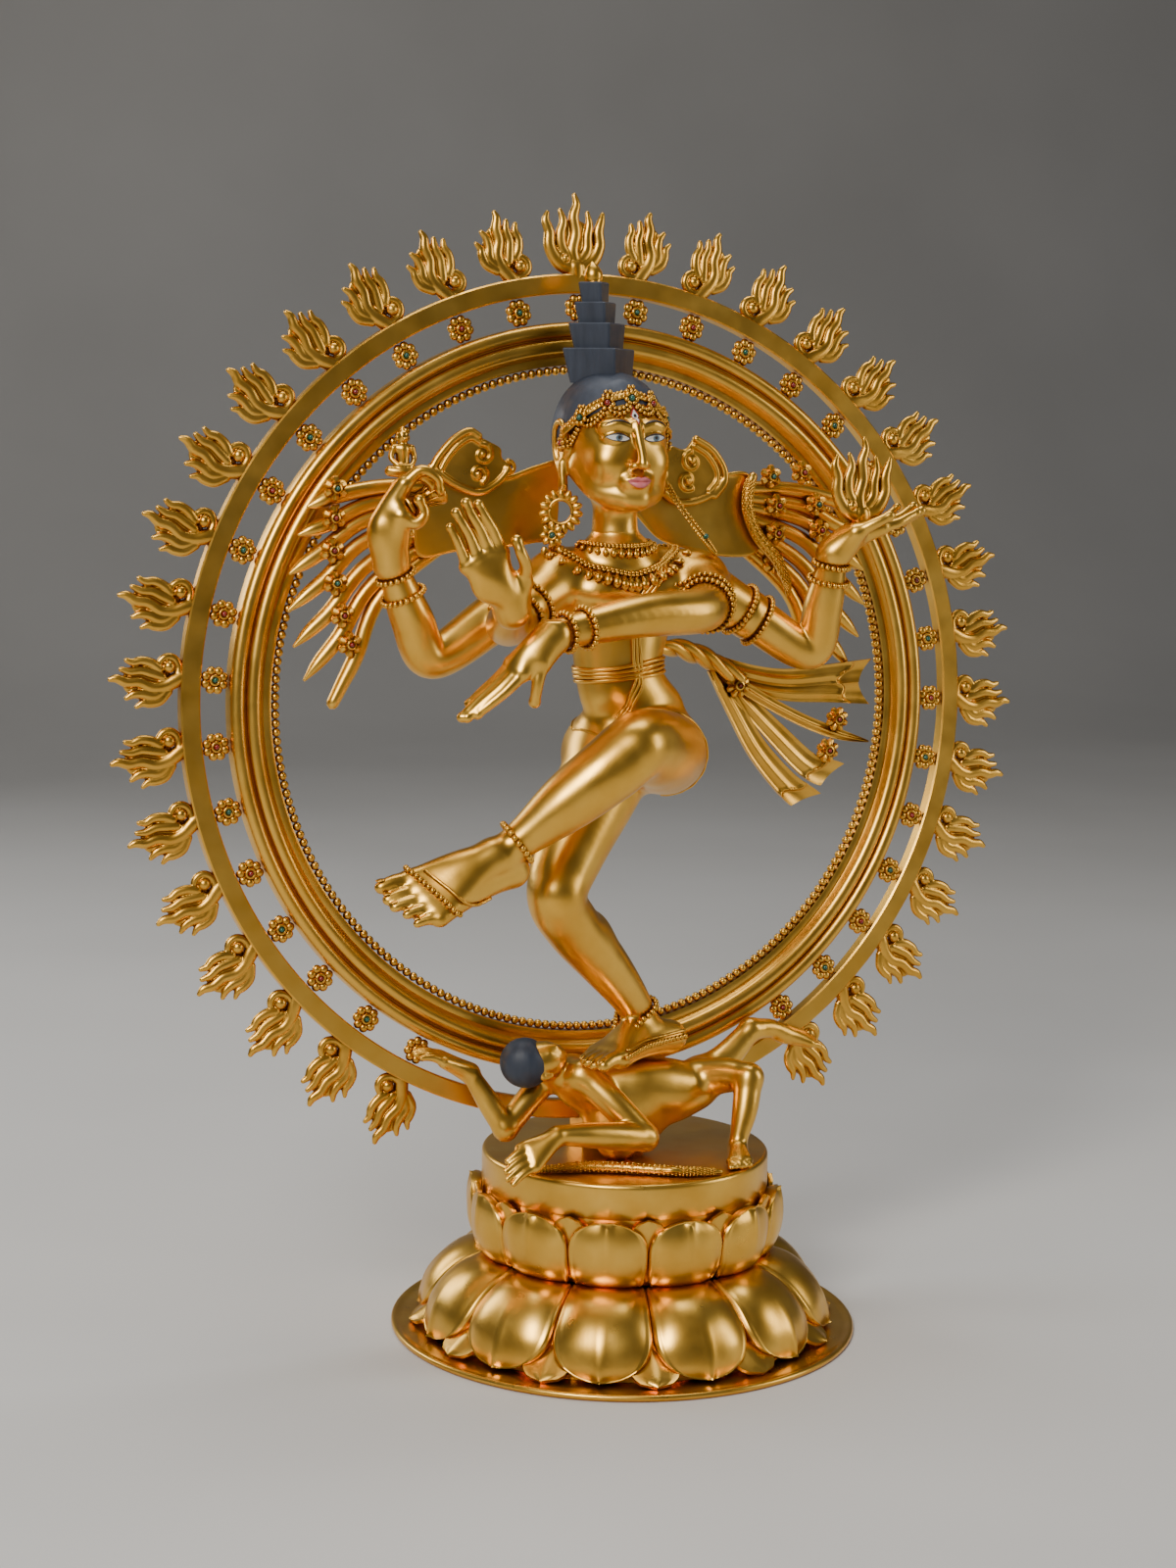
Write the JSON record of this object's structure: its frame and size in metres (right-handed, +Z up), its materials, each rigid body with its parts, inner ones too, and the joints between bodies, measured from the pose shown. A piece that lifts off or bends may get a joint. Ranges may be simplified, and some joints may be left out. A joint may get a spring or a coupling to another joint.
{
  "type": "nataraja statue",
  "caption": "Gilt metal figure dancing on a dwarf inside an upright ring of flames, on a round double lotus base; stands free on a flat plate.",
  "frame": {"origin": "centre of the base plate's flat underside, on the surface it stands on", "axes": "+Z up through the figure, -Y towards the viewer of the front, +X to that viewer's right"},
  "size_m": [0.6731, 0.322, 0.7761],
  "materials": {
    "gilt_metal": "satin gilding, polished on the highlights, warmer in the recesses",
    "blue_hair_paint": "matte slate blue paint with fine brush lines",
    "face_paint": "thin matte paint on brows, eyes and lips",
    "red_stone": "polished red cabochon",
    "green_stone": "polished green cabochon",
    "steel_tie": "plain turned steel"
  },
  "bodies": {
    "root": {"anklets": "gilt_metal", "arm_back_left": "gilt_metal", "arm_back_right": "gilt_metal", "arm_front_left": "gilt_metal", "arm_front_right": "gilt_metal", "armlets": "gilt_metal", "base_plate": "gilt_metal", "base_snake": "gilt_metal", "bead_row": "gilt_metal", "bracelets": "gilt_metal", "cape_left": "gilt_metal", "cape_right": "gilt_metal", "crest_flame": "gilt_metal", "crown": "gilt_metal", "dwarf_arm_far": "gilt_metal", "dwarf_arm_near": "gilt_metal", "dwarf_body": "gilt_metal", "dwarf_hair": "blue_hair_paint", "dwarf_leg_far": "gilt_metal", "dwarf_leg_near": "gilt_metal", "ear_ring": "gilt_metal", "ear_strip": "gilt_metal", "flames_left": "gilt_metal", "flames_right": "gilt_metal", "hair_dome": "blue_hair_paint", "hair_finial": "gilt_metal", "hair_snake": "gilt_metal", "hair_tiers": "blue_hair_paint", "halo_band_lower": "gilt_metal", "halo_band_upper": "gilt_metal", "halo_foot": "gilt_metal", "halo_ring_lower": "gilt_metal", "halo_ring_upper": "gilt_metal", "hand_back_left": "gilt_metal", "hand_back_right": "gilt_metal", "hand_drum": "gilt_metal", "hand_front_left": "gilt_metal", "hand_front_right": "gilt_metal", "head": "gilt_metal", "lock_rosettes": "gilt_metal", "locks_left": "gilt_metal", "locks_right": "gilt_metal", "lower_lotus": "gilt_metal", "necklaces": "gilt_metal", "palm_flame": "gilt_metal", "pedestal_drum": "gilt_metal", "raised_leg": "gilt_metal", "rosettes": "gilt_metal", "sacred_thread": "gilt_metal", "sash": "gilt_metal", "sash_rosettes": "gilt_metal", "seated_figure": "gilt_metal", "standing_leg": "gilt_metal", "stones_green": "green_stone", "stones_red": "red_stone", "tie_nut": "steel_tie", "tie_rod": "steel_tie", "torso": "gilt_metal", "upper_lotus": "gilt_metal", "waist_cords": "gilt_metal"}
  },
  "joints": []
}
